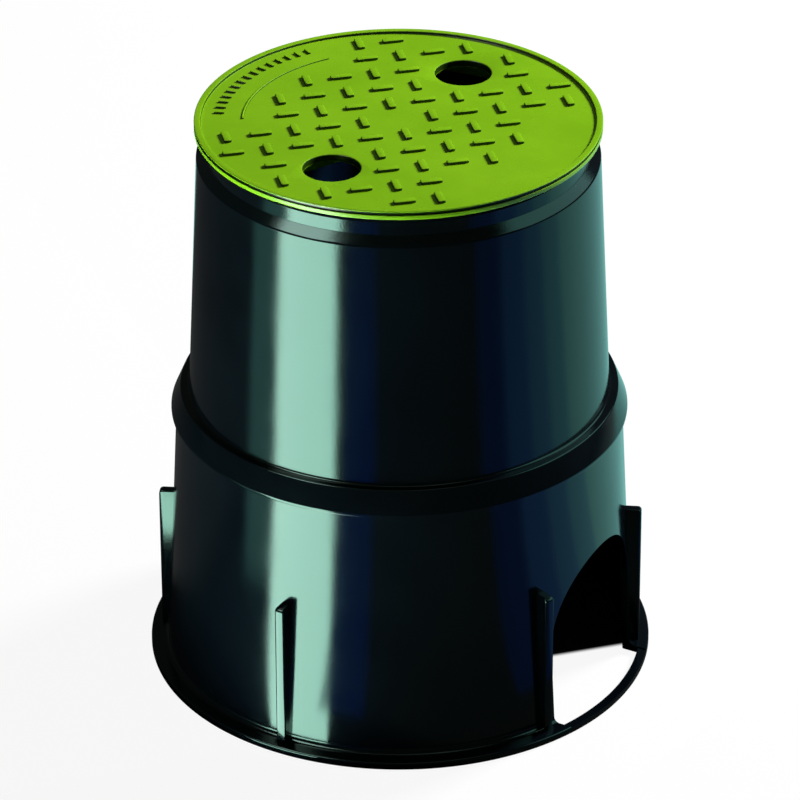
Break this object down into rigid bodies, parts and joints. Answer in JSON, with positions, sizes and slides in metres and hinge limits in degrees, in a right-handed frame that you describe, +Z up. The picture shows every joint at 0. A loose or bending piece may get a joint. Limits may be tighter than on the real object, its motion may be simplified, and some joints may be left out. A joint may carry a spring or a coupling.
{
  "type": "round drain box",
  "caption": "Round open-bottomed ground box with a stepped tapered wall, ribbed foot, arched pipe openings and a lift-off treaded lid with finger holes.",
  "frame": {"origin": "middle of the ground flange's underside, on the box's axis", "axes": "+Z up along the box's axis, X along the line through the two pipe openings"},
  "size_m": [0.2048, 0.2046, 0.2375],
  "materials": {
    "body": "satin black moulded plastic with a fine grain",
    "lid": "satin yellow-green moulded plastic"
  },
  "bodies": {
    "root": {"body": "body", "lid": "lid"}
  },
  "joints": []
}
